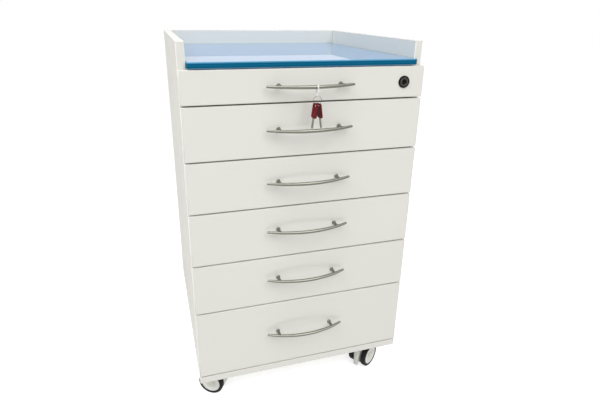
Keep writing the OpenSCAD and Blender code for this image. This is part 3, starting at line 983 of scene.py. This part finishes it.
def caster_hood(trail, rise):
    """The hood between the wheels: round over the axle, up to the kingpin, a skirt and a tail."""
    radius, half, top = mm(29, 9.8, 65)
    back, front = mm(-12, 14)
    centre, out = (trail, rise), trail + radius
    skirt = [(back, 19 * MM), mm(-4, 4.5)]
    tail = [(out + x * MM, z * MM) for x, z in
            ((-1, 8), (1, 6.2), (3, 6.4), (4, 8.5), (2.6, 24), (0.6, 40), (-1.5, 50), (-6, 52.5))]
    points = skirt + arc(centre, radius, 246, 340, 20) + tail
    points += arc(centre, radius, 52, math.degrees(math.acos((front - trail) / radius)), 8)
    hood = plate(points + [(front, top), (back, top)], -half, half)
    round_edges(hood, [e for e in hood.edges if span(e, Y) < 0.01 * MM], 1.4 * MM, 3)
    for vert in hood.verts:
        if vert.co.x > out - 8 * MM:
            up = (vert.co.z - 5 * MM) / (47 * MM)
            vert.co.y *= 0.55 + 0.26 * min(max(up, 0), 1)
    cap = ((0, 62.6), (15, 62.6), (16, 63.4), (16, 64.4), (15.2, 65.2), (0, 65.2))
    join(hood, lathe([mm(*point) for point in cap], steps=48, axis="Z"))
    return hood


def twin(wheel):
    """Both wheels of a caster, from one whose outer face looks along +Y."""
    pair = bmesh.new()
    for turn in (0, math.pi):
        one = wheel.copy()
        one.transform(Matrix.Rotation(turn, 4, "Z"))
        join(pair, one)
    wheel.free()
    return pair


def wheel_disc():
    """One disc, outwards along +Y: a raised cap, a dished face and a lip."""
    face = [(0, 0.6), (4.4, 0.6), (5.4, 1.0), (5.8, 1.8), (6.2, 2.9), (7.2, 3.1), (14, 2.8),
            (17.8, 1.6), (18.7, 0.6), (19.5, 0.3), (22.8, 0.3), (23.6, 0.8), (23.6, 3.4)]
    bead, bore_end = TYRE_OUT - 3.4 * MM, TYRE_OUT - 1.6 * MM
    points = [(r * MM, TYRE_OUT - y * MM) for r, y in face]
    points += [(HUB_R, bead), (HUB_R, TYRE_IN), (AXLE_R, TYRE_IN), (AXLE_R, bore_end)]
    points += [(0, bore_end)]
    return lathe(points, steps=72)


def ribbed_tyre(ribs, depth):
    """One tyre, outwards along +Y, with grooves across its tread."""
    wall = ((0, 0), (3.3, 0), (5.1, 0.9), (6, 2.7))
    lip, bead = HUB_R - 1.35 * MM, TYRE_OUT - 3.3 * MM
    per_rib, tread_from = 3, 29.5 * MM
    points = [(HUB_R + r * MM, TYRE_IN + y * MM) for r, y in wall]
    points += [(HUB_R + r * MM, TYRE_OUT - y * MM) for r, y in reversed(wall[1:])]
    points += [(HUB_R - 0.2 * MM, TYRE_OUT), (lip, TYRE_OUT - 0.6 * MM), (lip, bead), (HUB_R, bead)]
    bm = lathe(closed(points), steps=ribs * per_rib)
    for vert in bm.verts:
        radius = math.hypot(vert.co.x, vert.co.z)
        turns = math.atan2(vert.co.z, vert.co.x) / (2 * math.pi)
        if radius > tread_from and round(turns * ribs * per_rib) % per_rib == 0:
            scale = (radius - depth) / radius
            vert.co.x *= scale
            vert.co.z *= scale
    bm.normal_update()
    return bm


class CABINET_OT_stage(bpy.types.Operator):
    """Floor, light and camera"""
    bl_idname = "cabinet.stage"
    bl_label = "Studio"

    def execute(self, context):
        choice = context.scene.cabinet_stage
        make_camera(context)
        make_floor(choice)
        make_world(context, choice)
        make_lamp("key_lamp", place=(0.9, -2.7, 3.1), target=(0, -0.1, 0.4),
                  size=2.2, power=choice.key)
        make_lamp("fill_lamp", place=(-1.7, -0.9, 3.0), target=(0, 0, 0.4),
                  size=2.6, power=choice.fill)
        return {"FINISHED"}


def make_camera(context):
    """The camera stands at the front left, above the top, and is rolled a little."""
    yaw, pitch, roll = (math.radians(angle) for angle in (YAW, PITCH, ROLL))
    flat = math.cos(pitch)
    ahead = Vector((math.sin(yaw) * flat, math.cos(yaw) * flat, math.sin(pitch)))
    level = Vector((math.cos(yaw), -math.sin(yaw), 0))
    above = level.cross(ahead)
    right = level * math.cos(roll) + above * math.sin(roll)
    up = above * math.cos(roll) - level * math.sin(roll)
    camera = bpy.data.objects.new("camera", bpy.data.cameras.new("camera"))
    camera.data.sensor_width = 36
    camera.data.lens = FOCAL / FRAME_W * camera.data.sensor_width
    camera.data.shift_x = (FRAME_W / 2 - CENTRE[0]) / FRAME_W
    camera.data.shift_y = (CENTRE[1] - FRAME_H / 2) / FRAME_W
    turned = Matrix((right, up, -ahead)).transposed().to_4x4()
    camera.matrix_world = Matrix.Translation(CAMERA_AT) @ turned
    context.scene.collection.objects.link(camera)
    context.scene.camera = camera


def shows_background(tree):
    """1 for rays that see the background: camera, glossy and transmission rays."""
    path = tree.nodes.new("ShaderNodeLightPath")
    total = path.outputs["Is Camera Ray"]
    for name in ("Is Glossy Ray", "Is Transmission Ray"):
        larger = tree.nodes.new("ShaderNodeMath")
        larger.operation = "MAXIMUM"
        tree.links.new(total, larger.inputs[0])
        tree.links.new(path.outputs[name], larger.inputs[1])
        total = larger.outputs[0]
    return total


def make_floor(choice):
    """A wide round floor, lifted to white for what looks at it; it keeps the shadow."""
    bm = bmesh.new()
    bmesh.ops.create_circle(bm, cap_ends=True, radius=14, segments=96)
    mesh = bpy.data.meshes.new("floor")
    bm.to_mesh(mesh)
    bm.free()
    mat, shader = new_material("studio_floor", choice.floor_colour, 0.9, specular_ior_level=0.05)
    tint(mat, shader, grain(mat, 2), shades(choice.floor_colour, 0.995, 1.0))
    tree = mat.node_tree
    lift = spread(mat, shows_background(tree), 0.0, choice.floor_lift, 0.0, 1.0)
    tree.links.new(lift, shader.inputs["Emission Strength"])
    shader.inputs["Emission Color"].default_value = (1, 1, 1, 1)
    mesh.materials.append(mat)
    floor = bpy.data.objects.new("floor", mesh)
    bpy.context.scene.collection.objects.link(floor)


def make_world(context, choice):
    """White where it is seen, and a plain level of light from all round."""
    world = bpy.data.worlds.new("studio")
    context.scene.world = world
    world.use_nodes = True
    tree = world.node_tree
    background = tree.nodes["Background"]
    background.inputs["Color"].default_value = (1, 1, 1, 1)
    level = tree.nodes.new("ShaderNodeMapRange")
    level.inputs["To Min"].default_value = choice.sky
    level.inputs["To Max"].default_value = 1.0
    tree.links.new(shows_background(tree), level.inputs["Value"])
    tree.links.new(level.outputs["Result"], background.inputs["Strength"])


def make_lamp(name, place, target, size, power):
    """A square soft lamp that looks at a target."""
    lamp = bpy.data.objects.new(name, bpy.data.lights.new(name, "AREA"))
    lamp.data.shape = "SQUARE"
    lamp.data.size = size
    lamp.data.energy = power
    lamp.location = place
    lamp.rotation_euler = (Vector(target) - Vector(place)).to_track_quat("-Z", "Y").to_euler()
    bpy.context.scene.collection.objects.link(lamp)


# ---------------------------------------------------------------- add-on

SETTINGS = {
    "cabinet_boards": BoardSettings,
    "cabinet_glass": GlassSettings,
    "cabinet_handles": HandleSettings,
    "cabinet_lock": LockSettings,
    "cabinet_casters": CasterSettings,
    "cabinet_stage": StageSettings,
}
STEPS = (CABINET_OT_stage, CABINET_OT_boards, CABINET_OT_fronts, CABINET_OT_boxes,
         CABINET_OT_glass, CABINET_OT_handles, CABINET_OT_lock, CABINET_OT_keys,
         CABINET_OT_casters)


class CABINET_PT_panel(bpy.types.Panel):
    """Lists the cabinet's pieces and their settings"""
    bl_idname = "CABINET_PT_panel"
    bl_label = "Clinic Cabinet"
    bl_space_type = "VIEW_3D"
    bl_region_type = "UI"
    bl_category = "Cabinet"

    def draw(self, context):
        for step in STEPS:
            self.layout.operator(step.bl_idname)
        for name, group in SETTINGS.items():
            box = self.layout.box()
            box.label(text=group.__doc__)
            for prop in group.__annotations__:
                box.prop(getattr(context.scene, name), prop)


def register():
    for cls in (*SETTINGS.values(), *STEPS, CABINET_PT_panel):
        bpy.utils.register_class(cls)
    for name, group in SETTINGS.items():
        setattr(bpy.types.Scene, name, PointerProperty(type=group))


def unregister():
    for name in SETTINGS:
        delattr(bpy.types.Scene, name)
    for cls in (CABINET_PT_panel, *reversed(STEPS), *SETTINGS.values()):
        bpy.utils.unregister_class(cls)


def main():
    """Builds every piece in order."""
    register()
    bpy.context.scene.view_settings.view_transform = "Standard"
    bpy.ops.cabinet.stage()
    bpy.ops.cabinet.boards()
    bpy.ops.cabinet.fronts()
    bpy.ops.cabinet.boxes()
    bpy.ops.cabinet.glass()
    bpy.ops.cabinet.handles()
    bpy.ops.cabinet.lock()
    bpy.ops.cabinet.keys()
    bpy.ops.cabinet.casters()


if __name__ == "__main__":
    main()
